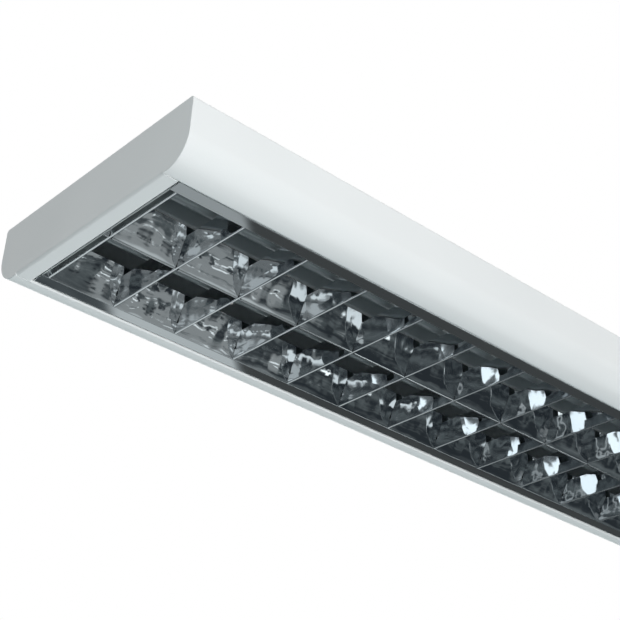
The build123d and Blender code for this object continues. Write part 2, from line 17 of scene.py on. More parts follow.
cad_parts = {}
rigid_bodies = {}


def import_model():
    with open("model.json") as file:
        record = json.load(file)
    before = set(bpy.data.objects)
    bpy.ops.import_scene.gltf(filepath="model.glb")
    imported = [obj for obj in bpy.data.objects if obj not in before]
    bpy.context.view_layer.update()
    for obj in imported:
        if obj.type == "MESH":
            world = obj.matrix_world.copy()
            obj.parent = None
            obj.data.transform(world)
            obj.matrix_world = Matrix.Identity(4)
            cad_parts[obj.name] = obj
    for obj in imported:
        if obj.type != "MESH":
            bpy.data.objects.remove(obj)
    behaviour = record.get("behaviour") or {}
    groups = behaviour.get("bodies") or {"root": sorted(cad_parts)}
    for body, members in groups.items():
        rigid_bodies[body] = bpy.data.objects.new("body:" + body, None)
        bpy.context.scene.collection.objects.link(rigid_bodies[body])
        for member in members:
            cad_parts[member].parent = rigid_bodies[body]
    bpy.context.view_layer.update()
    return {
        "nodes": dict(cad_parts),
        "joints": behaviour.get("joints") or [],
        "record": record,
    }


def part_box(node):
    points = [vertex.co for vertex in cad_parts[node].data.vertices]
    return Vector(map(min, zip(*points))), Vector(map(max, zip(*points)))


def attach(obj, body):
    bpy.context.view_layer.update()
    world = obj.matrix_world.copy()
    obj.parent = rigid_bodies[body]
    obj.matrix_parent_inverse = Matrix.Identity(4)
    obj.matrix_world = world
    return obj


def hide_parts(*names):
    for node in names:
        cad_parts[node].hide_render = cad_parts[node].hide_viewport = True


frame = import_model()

for material in bpy.data.materials:
    material.name = f"frame_{material.name}"

# %% [markdown]
# ## Sizes
#
# Most sizes are measured on the solids, so the meshes follow them. Only what a box can't tell, such as
# the radius of a bend or the thickness of a sheet, is written out. Sizes are in millimetres and become
# metres when a vertex is made.

# %% Sizes of the steel body
MM = 0.001
STEEL = 0.8
TOP_BEND = 3.0
RIM_ROUND = 23.0
RIM_FLAT = 4.0
LIP_BEND = 1.2
LIP_HEIGHT = 8.0


def measured(node):
    """Lowest and highest corner of a solid, in millimetres."""
    low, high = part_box(node)
    return low / MM, high / MM


shell_low, shell_high = measured("housing_shell")
half_width = shell_high.y
body_base = shell_low.z
shell_end = shell_high.x
mouth = half_width - RIM_ROUND - RIM_FLAT
print(f"body: {2 * half_width:.1f} wide, {-body_base:.1f} high, mouth {2 * mouth:.1f} wide")

# %% Sizes of the mirror louvre
MIRROR_SHEET = 0.6
BLADE_SHEET = 0.5
RIDGE_FOOT = 2.0
FLANK_LEAN = 6.1
FLANK_WAIST = 0.51
BLADE_FOOT = 1.8
BLADE_LEAN = 1.35
BLADE_WAIST = 0.45
BLADE_FIT = 0.2

side_low, side_high = measured("side_reflector_rear")
ridge_high = measured("centre_reflector")[1]
blade_low, blade_high = measured("cross_blade_01")
blade_names = sorted(name for name in frame["nodes"] if name.startswith("cross_blade"))
first_station = (blade_low.x + blade_high.x) / 2
pitch = (measured(blade_names[-1])[0].x - blade_low.x) / (len(blade_names) - 1)
stations = [first_station + pitch * number for number in range(-1, len(blade_names) + 1)]
louvre_base = side_low.z
louvre_end = side_high.x
louvre_edge = side_high.y
flank_height = side_high.z - side_low.z
flank_reach = ridge_high.y - RIDGE_FOOT / 2
channel_edge = side_low.y + flank_reach
blade_height = blade_high.z - blade_low.z
blade_reach = (blade_high.x - blade_low.x - BLADE_FOOT) / 2
print(f"louvre: {len(stations)} blades {pitch:.1f} apart, two of them in the end pieces")

# %% [markdown]
# ## Shared effects
#
# Nothing real has one flat colour. A cloudy noise, stretched or fine, drives the colour, the gloss and the
# tiny relief of every finish here, so it is built once as a node group with named inputs. Most of a noise
# lies near its middle, so that stretch is spread over the whole range. Each material places the group
# with its own values.

# %% A node group for cloudy variation
NOISE_LOW = 0.3
NOISE_HIGH = 0.7


def add_node(tree, kind, inputs=(), **settings):
    """Add a node, set its properties, then its sockets by name."""
    node = tree.nodes.new(kind)
    for name, value in settings.items():
        setattr(node, name, value)
    for name, value in dict(inputs).items():
        node.inputs[name].default_value = value
    return node


def cloud_group():
    """Noise in object space, stretched by a vector and mapped between two values."""
    tree = bpy.data.node_groups.new("cloud", "ShaderNodeTree")
    for name, value in {"Stretch": (1, 1, 1), "Scale": 10, "Detail": 2, "Low": 0, "High": 1}.items():
        kind = "NodeSocketVector" if name == "Stretch" else "NodeSocketFloat"
        tree.interface.new_socket(name, in_out="INPUT", socket_type=kind).default_value = value
    tree.interface.new_socket("Value", in_out="OUTPUT", socket_type="NodeSocketFloat")
    inside = tree.nodes.new("NodeGroupInput")
    outside = tree.nodes.new("NodeGroupOutput")
    spot = add_node(tree, "ShaderNodeTexCoord")
    stretch = add_node(tree, "ShaderNodeVectorMath", operation="MULTIPLY")
    noise = add_node(tree, "ShaderNodeTexNoise")
    spread = add_node(tree, "ShaderNodeMapRange", {"From Min": NOISE_LOW, "From Max": NOISE_HIGH})
    links = tree.links
    links.new(spot.outputs["Object"], stretch.inputs[0])
    links.new(inside.outputs["Stretch"], stretch.inputs[1])
    links.new(stretch.outputs["Vector"], noise.inputs["Vector"])
    links.new(inside.outputs["Scale"], noise.inputs["Scale"])
    links.new(inside.outputs["Detail"], noise.inputs["Detail"])
    links.new(noise.outputs["Fac"], spread.inputs["Value"])
    links.new(inside.outputs["Low"], spread.inputs["To Min"])
    links.new(inside.outputs["High"], spread.inputs["To Max"])
    links.new(spread.outputs["Result"], outside.inputs["Value"])
    return tree


cloud = cloud_group()
print("node group:", cloud.name, [item.name for item in cloud.interface.items_tree])

# %% [markdown]
# ## Finishes
#
# A finish is a Principled shader whose colour, roughness and bump come from clouds of different sizes.
# One function makes them all. Powder coat gets a fine orange peel, mirror sheet gets long shallow waves
# from rolling, and moulded plastic a fine matt grain. The waves fade out at the lower edges of the louvre,
# where the sheet is folded and stays straight.

# %% A function for finishes
GLOSS_PATCHES = 3
RELIEF_DETAIL = 1.5


def clouds(tree, scale, low=0.0, high=1.0, detail=2.0, stretch=(1, 1, 1)):
    """Place the cloud group in a material and return its output."""
    values = {"Stretch": stretch, "Scale": scale, "Detail": detail, "Low": low, "High": high}
    return add_node(tree, "ShaderNodeGroup", values, node_tree=cloud).outputs["Value"]


def calm_below(tree, height, level, room):
    """Height that fades to nothing from a little above a level down to it."""
    spot = add_node(tree, "ShaderNodeTexCoord")
    parts = add_node(tree, "ShaderNodeSeparateXYZ")
    fade = add_node(tree, "ShaderNodeMapRange", {"From Min": level, "From Max": level + room})
    product = add_node(tree, "ShaderNodeMath", operation="MULTIPLY")
    tree.links.new(spot.outputs["Object"], parts.inputs["Vector"])
    tree.links.new(parts.outputs["Z"], fade.inputs["Value"])
    tree.links.new(height, product.inputs[0])
    tree.links.new(fade.outputs["Result"], product.inputs[1])
    return product.outputs["Value"]


def finish(name, dark, light, rough, metallic=0.0, patch=8.0, grain=900.0, relief=0.01,
           stretch=(1, 1, 1), calm=None, **sockets):
    """Material that drifts between two colours and two roughnesses over a fine relief."""
    material = bpy.data.materials.new(name)
    material.use_nodes = True
    tree = material.node_tree
    shader = tree.nodes["Principled BSDF"]
    shader.inputs["Metallic"].default_value = metallic
    for socket, value in sockets.items():
        shader.inputs[socket.replace("_", " ")].default_value = value
    colour = add_node(tree, "ShaderNodeMix", data_type="RGBA")
    colour.inputs["A"].default_value = (*dark, 1)
    colour.inputs["B"].default_value = (*light, 1)
    tree.links.new(clouds(tree, patch), colour.inputs["Factor"])
    tree.links.new(colour.outputs["Result"], shader.inputs["Base Color"])
    tree.links.new(clouds(tree, patch * GLOSS_PATCHES, *rough), shader.inputs["Roughness"])
    bump = add_node(tree, "ShaderNodeBump", {"Strength": 1.0, "Distance": relief * MM})
    height = clouds(tree, grain, detail=RELIEF_DETAIL, stretch=stretch)
    tree.links.new(calm_below(tree, height, *calm) if calm else height, bump.inputs["Height"])
    tree.links.new(bump.outputs["Normal"], shader.inputs["Normal"])
    return material


# %% Enamel, mirror sheet and its plain back
CALM_LEVEL = 0.5
CALM_ROOM = 8.0

enamel = finish("white_enamel", dark=(0.83, 0.845, 0.845), light=(0.88, 0.89, 0.89), rough=(0.30, 0.40),
                patch=5.0, grain=700.0, relief=0.02)
mirror = finish("mirror_aluminium", dark=(0.80, 0.82, 0.84), light=(0.86, 0.875, 0.89), rough=(0.02, 0.06),
                metallic=1.0, patch=14.0, grain=36.0, relief=0.4, stretch=(1.0, 1.0, 0.3),
                calm=((louvre_base + CALM_LEVEL) * MM, CALM_ROOM * MM))
plain = finish("plain_aluminium", dark=(0.50, 0.53, 0.53), light=(0.58, 0.61, 0.61), rough=(0.35, 0.50),
               metallic=0.4, patch=30.0, grain=600.0)
print("finishes:", enamel.name, mirror.name, plain.name)

# %% [markdown]
# The smaller parts inside follow the record: each of its material slots has a colour and a class, and the
# class decides how metallic and how glossy the finish is.

# %% Finishes for the parts inside
DARKER = 0.94
LIGHTER = 1.03
SMALL_PATCHES = 40.0
CLASS_LOOKS = {
    "brushed_steel": {"metallic": 1.0, "rough": (0.26, 0.42)},
    "aluminium": {"metallic": 1.0, "rough": (0.22, 0.36)},
    "brass": {"metallic": 1.0, "rough": (0.18, 0.32)},
    "matte_plastic": {"rough": (0.48, 0.62)},
    "gloss_plastic": {"rough": (0.22, 0.32)},
    "rubber": {"rough": (0.70, 0.85)},
    "glass": {"rough": (0.25, 0.35), "Coat_Weight": 1.0, "Coat_Roughness": 0.04},
}


def finish_from_record(entry):
    """Finish for one of the record's slots, a little darker and lighter than its colour in patches."""
    colour = entry["base_color"][:3]
    dark = [DARKER * value for value in colour]
    light = [min(1.0, LIGHTER * value) for value in colour]
    return finish(entry["slot"], dark, light, patch=SMALL_PATCHES, **CLASS_LOOKS[entry["class"]])


finishes = {"white_enamel": enamel, "mirror_aluminium": mirror}
for entry in frame["record"]["materials"]:
    if entry["slot"] not in finishes:
        finishes[entry["slot"]] = finish_from_record(entry)
print("slots:", ", ".join(sorted(finishes)))

# %% [markdown]
# ## Drawing sheet metal
#
# Folded sheet is easiest to draw as its profile: a line with rounded corners, carried along an axis. The
# corners are rounded by arcs that touch both neighbours, as a real bend does. The faces are shaded smooth,
# edges over a set angle stay sharp, and weighted normals keep the big flats flat beside a small bend.

# %% Helpers for profiles


def rounded(corners, steps, closed=False):
    """Line through corners, each a point and a radius, with an arc in place of every rounded corner."""
    path = []
    for index, (point, radius) in enumerate(corners):
        here = Vector(point)
        if radius <= 0 or (not closed and index in (0, len(corners) - 1)):
            path.append(here)
            continue
        before = (Vector(corners[index - 1][0]) - here).normalized()
        after = (Vector(corners[(index + 1) % len(corners)][0]) - here).normalized()
        half = before.angle(after) / 2
        centre = here + (before + after).normalized() * (radius / math.sin(half))
        start = here + before * (radius / math.tan(half)) - centre
        end = here + after * (radius / math.tan(half)) - centre
        turn = start.angle(end)
        for step in range(steps + 1):
            share = step / steps
            spoke = start * math.sin((1 - share) * turn) + end * math.sin(share * turn)
            path.append(centre + spoke / math.sin(turn))
    return path


def skin(rings, joined=False):
    """Closed mesh over rings of points, with a cap on both ends or the last ring joined to the first."""
    shape = bmesh.new()
    loops = [[shape.verts.new(Vector(point) * MM) for point in ring] for ring in rings]
    following = loops[1:] + loops[:1] if joined else loops[1:]
    for lower, upper in zip(loops, following):
        for index, corner in enumerate(lower):
            after = (index + 1) % len(lower)
            shape.faces.new((corner, lower[after], upper[after], upper[index]))
    if not joined:
        shape.faces.new(loops[0])
        shape.faces.new(loops[-1])
    bmesh.ops.recalc_face_normals(shape, faces=shape.faces)
    return shape


def prism(outline, start, end, across=False):
    """Closed mesh: an outline carried along X, or along Y where it lies across."""
    if across:
        return skin([[(a, station, b) for a, b in outline] for station in (start, end)])
    return skin([[(station, a, b) for a, b in outline] for station in (start, end)])


# %% Helpers for pieces


def add_object(name, data):
    """New object in the scene."""
    thing = bpy.data.objects.new(name, data)
    bpy.context.scene.collection.objects.link(thing)
    return thing


def raw_object(name, shape):
    """New object from a bmesh."""
    mesh = bpy.data.meshes.new(name)
    shape.to_mesh(mesh)
    shape.free()
    return add_object(name, mesh)


def settle(thing):
    """Turn an object's modifiers into its own plain mesh."""
    graph = bpy.context.evaluated_depsgraph_get()
    mesh = bpy.data.meshes.new_from_object(thing.evaluated_get(graph), preserve_all_data_layers=True,
                                           depsgraph=graph)
    old = thing.data
    thing.modifiers.clear()
    thing.data = mesh
    bpy.data.meshes.remove(old)
    mesh.name = thing.name


def shade(thing, crease=32):
    """Smooth shading with crisp edges, and flat faces that stay flat."""
    thing.data.shade_smooth()
    thing.data.set_sharp_from_angle(angle=math.radians(crease))
    weigh = thing.modifiers.new("weigh", "WEIGHTED_NORMAL")
    weigh.keep_sharp = True
    settle(thing)


def place(thing, body, slot, *nodes):
    """Give a finished mesh its finish and its body, and hide the solids that it stands for."""
    thing.data.materials.clear()
    thing.data.materials.append(finishes[slot])
    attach(thing, body)
    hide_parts(*nodes)
    print(f"{thing.name}: {len(thing.data.polygons)} faces on {body}")


# %% [markdown]
# ## The steel body
#
# One sheet is folded into a shallow trough that lies upside down on the ceiling. Its long lower edges are
# rolled to a generous radius, run level for a few millimetres and turn up into a lip beside the louvre.
# The profile is drawn once for the outside and once a sheet thickness further in, with radii that shrink
# by the same amount, so every bend has one centre.

# %% Body profile
BEND_STEPS = 14


def body_sheet(inset):
    """Profile of the body from one lip to the other, drawn in from its outside."""
    lip = mouth + inset
    lip_top = body_base + LIP_HEIGHT
    side = half_width - inset
    base = body_base + inset
    right = [((lip, lip_top), 0), ((lip, base), LIP_BEND - inset), ((side, base), RIM_ROUND - inset),
             ((side, -inset), TOP_BEND - inset)]
    left = [((-y, z), radius) for (y, z), radius in reversed(right)]
    return rounded(right + left, BEND_STEPS)


shell_outline = body_sheet(0) + body_sheet(STEEL)[::-1]
housing = raw_object("body_shell", prism(shell_outline, -shell_end, shell_end))
print("profile points:", len(shell_outline))

# %% [markdown]
# The top has four fixing holes and a cable entry. They are cut with a Boolean, because a hole in a big
# flat face needs no neat quads round it. The fixing holes are where the record says.

# %% Holes in the top
HOLE_SIDES = 40
DRILL_LENGTH = 4.0
ENTRY_RADIUS = 10.0


def drill(x, y, z, radius, axis="Z"):
    """Closed round bar for cutting a hole through a sheet."""
    bar = bmesh.new()
    bmesh.ops.create_cone(bar, cap_ends=True, segments=HOLE_SIDES, radius1=radius * MM, radius2=radius * MM,
                          depth=DRILL_LENGTH * MM)
    turn = Matrix.Rotation(math.pi / 2, 4, "Y") if axis == "X" else Matrix.Identity(4)
    bmesh.ops.transform(bar, matrix=Matrix.Translation(Vector((x, y, z)) * MM) @ turn, verts=bar.verts)
    return bar


def combine(thing, shape, operation):
    """Weld a helper shape to an object, or cut it out."""
    helper = raw_object("helper", shape)
    step = thing.modifiers.new("combine", "BOOLEAN")
    step.operation = operation
    step.solver = "EXACT"
    step.object = helper
    settle(thing)
    mesh = helper.data
    bpy.data.objects.remove(helper)
    bpy.data.meshes.remove(mesh)


mounts = {mount["name"]: mount for mount in frame["record"]["mounts"]}
screws = mounts["ceiling_screws"]["dims"]
half_x = screws["spacing_x_mm"] / 2
half_y = screws["spacing_y_mm"] / 2
for x in (-half_x, half_x):
    for y in (-half_y, half_y):
        combine(housing, drill(x, y, 0, screws["hole_r_mm"]), "DIFFERENCE")
entry_x = mounts["cable_entry"]["pos_m"][0] / MM
combine(housing, drill(entry_x, 0, 0, ENTRY_RADIUS), "DIFFERENCE")
shade(housing)
place(housing, "housing", "white_enamel", "housing_shell")

# %% [markdown]
# ## End caps
#
# A pressed cap closes each end. Its face repeats the outline of the body with a hair of rounding, and
# below it bends into a level rim and a second lip. A thin seam parts that rim from the two long rims,
# and it shows in the light as a fine line. The face is built from rings of the outline that shrink round
# the edge, and the rim is a profile carried across, welded on.

# %% End cap
END_BEND = 2.5
END_LIP = 10.0
END_EDGE = 0.5
EDGE_STEPS = 4
SEAM = 0.2
CUT_ROOM = 1.0

cap_low, cap_high = measured("end_cap_far")
lip_face = cap_low.x
cap_face = cap_high.x


def cap_outline(inset):
    """Closed outline of the body, drawn in from its outside."""
    side = half_width - inset
    lower = RIM_ROUND - inset
    upper = TOP_BEND - inset
    corners = [((side, body_base + inset), lower), ((side, -inset), upper),
               ((-side, -inset), upper), ((-side, body_base + inset), lower)]
    return rounded(corners, BEND_STEPS, closed=True)


def cap_plate():
    """Face of an end cap as a closed plate with a rounded outer edge."""
    levels = [(shell_end, 0.0)]
    for step in range(EDGE_STEPS + 1):
        angle = math.pi / 2 * step / EDGE_STEPS
        levels.append((cap_face - END_EDGE * (1 - math.sin(angle)), END_EDGE * (1 - math.cos(angle))))
    return skin([[(x, y, z) for y, z in cap_outline(inset)] for x, inset in levels])


def cap_rim(inset):
    """Profile under the cap's face: bend, level rim and lip."""
    outer = cap_face - inset
    inner = lip_face + inset
    base = body_base + inset
    corners = [((outer, body_base + END_BEND + SEAM), 0), ((outer, base), END_BEND - inset),
               ((inner, base), LIP_BEND - inset), ((inner, body_base + END_LIP), 0)]
    return rounded(corners, EDGE_STEPS * 2)


def box_prism(low, high):
    """Closed box between two corners."""
    outline = [(low[1], low[2]), (high[1], low[2]), (high[1], high[2]), (low[1], high[2])]
    return prism(outline, low[0], high[0])


rim_reach = mouth - SEAM
cap_far = raw_object("end_cap_piece_far", cap_plate())
notch = box_prism((shell_end - CUT_ROOM, -rim_reach, body_base - CUT_ROOM),
                  (cap_face + CUT_ROOM, rim_reach, body_base + END_BEND))
combine(cap_far, notch, "DIFFERENCE")
combine(cap_far, prism(cap_rim(0) + cap_rim(STEEL)[::-1], -rim_reach, rim_reach, across=True), "UNION")
print("cap face at", round(cap_face, 1), "and lip at", round(lip_face, 1))

# %% [markdown]
# Inside, small tabs carry the spot welds that join a cap to the body, and the lip has the hole in which
# the louvre's pin turns. The far cap is finished first and then mirrored to the near end.

# %% Tabs, pivot hole and the second cap
TAB_DEPTH = 11.0
TAB_ROOM = 8.0
TOP_TAB_WIDTH = 44.0
SIDE_TAB_HEIGHT = 16.0
PIVOT_HOLE = 1.3


def weld_tab(across, upward):
    """Tab from a cap's face into the body, between two places across and two heights."""
    front, rear = sorted(across)
    low, high = upward
    return box_prism((shell_end - TAB_DEPTH, front, low), (shell_end + STEEL / 2, rear, high))


def mirrored(thing, name, axis):
    """Copy of an object on the other side of the light, turned right side out again."""
    mesh = thing.data.copy()
    mesh.transform(Matrix.Scale(-1, 4, axis))
    mesh.flip_normals()
    mesh.name = name
    return add_object(name, mesh)


top_tab = measured("lampholder_bracket_far")[1].y + TAB_ROOM
side_tab = body_base + RIM_ROUND
for side in (-1, 1):
    tab_y = (side * top_tab, side * (top_tab + TOP_TAB_WIDTH))
    combine(cap_far, weld_tab(tab_y, (-2 * STEEL, -STEEL)), "UNION")
    tab_y = (side * (half_width - STEEL), side * (half_width - 2 * STEEL))
    combine(cap_far, weld_tab(tab_y, (side_tab, side_tab + SIDE_TAB_HEIGHT)), "UNION")
hinge = next(joint for joint in frame["joints"] if joint["name"] == "louvre_swing")
pivot_y, pivot_z = (value / MM for value in hinge["pos_m"][1:])
combine(cap_far, drill(lip_face, pivot_y, pivot_z, PIVOT_HOLE, axis="X"), "DIFFERENCE")
cap_near = mirrored(cap_far, "end_cap_piece_near", (1, 0, 0))
for cap, end in ((cap_far, "far"), (cap_near, "near")):
    shade(cap)
    place(cap, "housing", "white_enamel", f"end_cap_{end}")

# %% [markdown]
# ## Side reflectors
#
# The louvre is all one mirror sheet, and its shape is the point of it: each flank is a piece of a parabola
# that sends the lamp's light down and keeps it out of your eyes. A side reflector is a flat flange, a
# small upstand and such a flank, with slots that take the tabs of the blades. It is drawn as a grid of
# quads, rows along the profile and columns along the light. Leaving quads out makes the slots, and
# Solidify gives the sheet its thickness on the side away from the mirror face.

# %% Parabolic flanks
ROW_ROOM = 0.3


def lean_at(rise, lean, reach, height, waist):
    """How far a parabolic flank has leaned over at a height above its foot."""
    bend = 1 - 2 * waist
    share = (math.sqrt(waist * waist + bend * rise / height) - waist) / bend
    return 2 * share * (1 - share) * lean + share * share * reach


def flank_lean(rise):
    """How far a reflector's flank has leaned over at a height above its foot."""
    return lean_at(rise, FLANK_LEAN, flank_reach, flank_height, FLANK_WAIST)


def blade_half(rise):
    """Half the width of a blade at a height above its foot."""
    return BLADE_FOOT / 2 + lean_at(rise, BLADE_LEAN, blade_reach, blade_height, BLADE_WAIST)


def heights(top, steps, *exact):
    """Even heights from the foot up, with some exact ones in place of those close to them."""
    even = [top * step / steps for step in range(1, steps + 1)]
    clear = [rise for rise in even if all(abs(rise - fixed) > ROW_ROOM for fixed in exact)]
    return sorted(clear + list(exact))


half_way = flank_lean(flank_height / 2)
print(f"flank leans {half_way:.2f} half way up and {flank_lean(flank_height):.2f} at the top")

# %% A sheet from rows and columns


def sheet(rows, thickness, keep):
    """Thin sheet over rows of points in millimetres, without the quads that keep() refuses."""
    grid = bmesh.new()
    points = [[grid.verts.new(Vector(point) * MM) for point in row] for row in rows]
    for r in range(len(rows) - 1):
        for c in range(len(rows[0]) - 1):
            if keep(r, c):
                grid.faces.new((points[r][c], points[r][c + 1], points[r + 1][c + 1], points[r + 1][c]))
    loose = [vert for vert in grid.verts if not vert.link_faces]
    bmesh.ops.delete(grid, geom=loose, context="VERTS")
    thing = raw_object("sheet", grid)
    wall = thing.modifiers.new("wall", "SOLIDIFY")
    wall.thickness = thickness * MM
    wall.use_even_offset = True
    settle(thing)
    return thing


# %% Side reflectors
FLANGE_BEND = 0.8
FOOT_BEND = 0.5
UPSTAND = 3.0
WALL_ROOM = 1.0
TAB_FOOT = 8.0
TAB_TOP = 13.0
FLANK_STEPS = 30
FOOT_STEPS = 5
FLANK_ROOM = 1.0
HAIR = 0.01

slot_rises = (TAB_FOOT - BLADE_FIT, TAB_TOP + BLADE_FIT)
slot_x = (blade_half(TAB_FOOT) - BLADE_SHEET - BLADE_FIT, blade_half(TAB_TOP) + BLADE_FIT)
flange_profile = [((louvre_edge, louvre_base + UPSTAND), 0), ((louvre_edge, louvre_base), FLANGE_BEND),
                  ((channel_edge, louvre_base), FOOT_BEND)]
flank_profile = [((channel_edge - flank_lean(rise), louvre_base + rise), 0)
                 for rise in heights(flank_height, FLANK_STEPS, *slot_rises)]
side_profile = rounded(flange_profile + flank_profile, FOOT_STEPS)
slot_edges = [station + side * edge for station in stations for side in (-1, 1) for edge in slot_x]
columns = sorted([-louvre_end, WALL_ROOM - louvre_end, louvre_end - WALL_ROOM, louvre_end] + slot_edges)


def side_quad(row, column):
    """Leave out the slots, and the flank's last millimetre where the end walls stand."""
    rises = [side_profile[row + step].y - louvre_base for step in (0, 1)]
    middle = (columns[column] + columns[column + 1]) / 2
    at_end = abs(middle) > louvre_end - WALL_ROOM
    on_flange = max(rises) < FLANGE_BEND / 4
    in_height = min(rises) >= slot_rises[0] - HAIR and max(rises) <= slot_rises[1] + HAIR
    in_slot = any(slot_x[0] < abs(middle - station) < slot_x[1] for station in stations)
    on_flank = side_profile[row].x < channel_edge + FLANK_ROOM
    return on_flange if at_end else not (in_height and in_slot and on_flank)


side_rows = [[(x, y, z) for x in columns] for y, z in side_profile]
side_rear = sheet(side_rows, MIRROR_SHEET, side_quad)
side_rear.name = "side_mirror_rear"
side_front = mirrored(side_rear, "side_mirror_front", (0, 1, 0))
for piece, name in ((side_rear, "rear"), (side_front, "front")):
    shade(piece)
    place(piece, "louvre", "mirror_aluminium", f"side_reflector_{name}")

# %% [markdown]
# ## Centre reflector
#
# Between the lamps the same sheet is folded into a ridge with two parabolic flanks. Its narrow foot is
# notched where the cross blades pass through, so the blades stay in one piece from side to side. Same
# grid, same Solidify, other profile.

# %% Centre reflector
BRIDGE_HEIGHT = 4.0
RIDGE_BEND = 1.2

notch_top = BRIDGE_HEIGHT + BLADE_FIT
notch_half = blade_half(BRIDGE_HEIGHT) + BLADE_FIT
ridge_right = [((RIDGE_FOOT / 2 + flank_lean(rise), louvre_base + rise), 0)
               for rise in reversed(heights(flank_height, FLANK_STEPS, notch_top))]
ridge_right.append(((RIDGE_FOOT / 2, louvre_base), RIDGE_BEND))
ridge_left = [((-y, z), radius) for (y, z), radius in reversed(ridge_right)]
ridge_profile = rounded(ridge_right + ridge_left, FOOT_STEPS)
notch_edges = [station + side * notch_half for station in stations for side in (-1, 1)]
ridge_columns = sorted([-ridge_high.x, ridge_high.x] + notch_edges)


def ridge_quad(row, column):
    """Leave out the notches in the foot."""
    rise = max(ridge_profile[row + step].y - louvre_base for step in (0, 1))
    middle = (ridge_columns[column] + ridge_columns[column + 1]) / 2
    in_notch = any(abs(middle - station) < notch_half for station in stations)
    return not (in_notch and rise <= notch_top + HAIR)


ridge_rows = [[(x, y, z) for x in ridge_columns] for y, z in ridge_profile]
ridge = sheet(ridge_rows, MIRROR_SHEET, ridge_quad)
ridge.name = "centre_mirror"
shade(ridge)
place(ridge, "louvre", "mirror_aluminium", "centre_reflector")

# %% [markdown]
# ## Cross blades
#
# A blade is a narrow V of mirror sheet that stands across both channels. Its ends follow the flanks they
# meet, a low bridge joins its two halves through the ridge, and two tabs reach through the slots. One
# blade is drawn at the middle of the light as a grid whose rows are as long as the channel is wide at
# their height.

# %% One blade
BLADE_STEPS = 16
BLADE_COLUMNS = 8
BLADE_BEND = 1.0
BLADE_BEND_STEPS = 4

blade_right = [((blade_half(rise), rise), 0)
               for rise in reversed(heights(blade_height, BLADE_STEPS, BRIDGE_HEIGHT, TAB_FOOT, TAB_TOP))]
blade_right.append(((BLADE_FOOT / 2, 0.0), BLADE_BEND))
blade_left = [((-x, rise), radius) for (x, rise), radius in blade_right]
blade_profile = rounded(blade_left + blade_right[::-1], BLADE_BEND_STEPS)


def blade_row(x, rise):
    """Points along a blade at one height: tab, front channel, rear channel, tab."""
    inner = RIDGE_FOOT / 2 + flank_lean(max(rise, 0)) + BLADE_FIT
    outer = channel_edge - flank_lean(max(rise, 0)) - BLADE_FIT
    reach = [inner + (outer - inner) * step / BLADE_COLUMNS for step in range(BLADE_COLUMNS + 1)]
    reach.append(blade_high.y)
    places = [-y for y in reversed(reach)] + reach
    return [(x, y, louvre_base + rise) for y in places]


def blade_quad(row, column):
    """Keep the bridge only at the foot and the tabs only at their height."""
    rises = [blade_profile[row + step].y for step in (0, 1)]
    last = 2 * BLADE_COLUMNS + 2
    if column in (0, last):
        return min(rises) >= TAB_FOOT - HAIR and max(rises) <= TAB_TOP + HAIR
    if column == BLADE_COLUMNS + 1:
        return max(rises) <= BRIDGE_HEIGHT + HAIR
    return True


blade = sheet([blade_row(x, rise) for x, rise in blade_profile], BLADE_SHEET, blade_quad)
shade(blade)
print("one blade:", len(blade.data.polygons), "faces")

# %% [markdown]
# Eighteen equal blades at an even pitch are a job for Geometry Nodes: a line of points, one instance of
# the blade on each, made real and given the finish. The count, the first place and the pitch are inputs
# of the tree, set by their identifiers before the object is evaluated.

# %% A row of blades


def row_tree(name, item, material):
    """Geometry node tree that repeats an object along X."""
    tree = bpy.data.node_groups.new(name, "GeometryNodeTree")
    sockets = {"Count": "NodeSocketInt", "First": "NodeSocketFloat", "Pitch": "NodeSocketFloat"}
    for label, kind in sockets.items():
        tree.interface.new_socket(label, in_out="INPUT", socket_type=kind)
    tree.interface.new_socket("Geometry", in_out="OUTPUT", socket_type="NodeSocketGeometry")
    inside = tree.nodes.new("NodeGroupInput")
    outside = tree.nodes.new("NodeGroupOutput")
    first = add_node(tree, "ShaderNodeCombineXYZ")
    step = add_node(tree, "ShaderNodeCombineXYZ")
    line = add_node(tree, "GeometryNodeMeshLine", mode="OFFSET", count_mode="TOTAL")
    source = add_node(tree, "GeometryNodeObjectInfo", {"Object": item})
    copies = add_node(tree, "GeometryNodeInstanceOnPoints")
    real = add_node(tree, "GeometryNodeRealizeInstances")
    coat = add_node(tree, "GeometryNodeSetMaterial", {"Material": material})
    links = tree.links
    links.new(inside.outputs["First"], first.inputs["X"])
    links.new(inside.outputs["Pitch"], step.inputs["X"])
    links.new(inside.outputs["Count"], line.inputs["Count"])
    links.new(first.outputs["Vector"], line.inputs["Start Location"])
    links.new(step.outputs["Vector"], line.inputs["Offset"])
    links.new(line.outputs["Mesh"], copies.inputs["Points"])
    links.new(source.outputs["Geometry"], copies.inputs["Instance"])
    links.new(copies.outputs["Instances"], real.inputs["Geometry"])
    links.new(real.outputs["Geometry"], coat.inputs["Geometry"])
    links.new(coat.outputs["Geometry"], outside.inputs["Geometry"])
    return tree


def grow(name, tree, **values):
    """Object whose mesh is what a geometry node tree makes with the given inputs."""
    thing = add_object(name, bpy.data.meshes.new(name))
    grower = thing.modifiers.new("grow", "NODES")
    grower.node_group = tree
    for item in tree.interface.items_tree:
        if item.in_out == "INPUT" and item.name in values:
            grower[item.identifier] = values[item.name]
    settle(thing)
    return thing


blades = grow("cross_blades", row_tree("blade_row", blade, mirror), Count=len(blade_names),
              First=first_station * MM, Pitch=pitch * MM)
place(blades, "louvre", "mirror_aluminium", *blade_names)

# %% [markdown]
# The sheet is bright on one side only, so the inside of each V gets the plain finish. A face looks into
# the V when its normal points back at the middle of its blade.

# %% The plain side of the blades


def dull(thing, hidden):
    """Give the faces that hidden() picks, by their middle and normal, the dull side of the sheet."""
    thing.data.materials.append(plain)
    for face in thing.data.polygons:
        face.material_index = int(hidden(face.center / MM, face.normal))


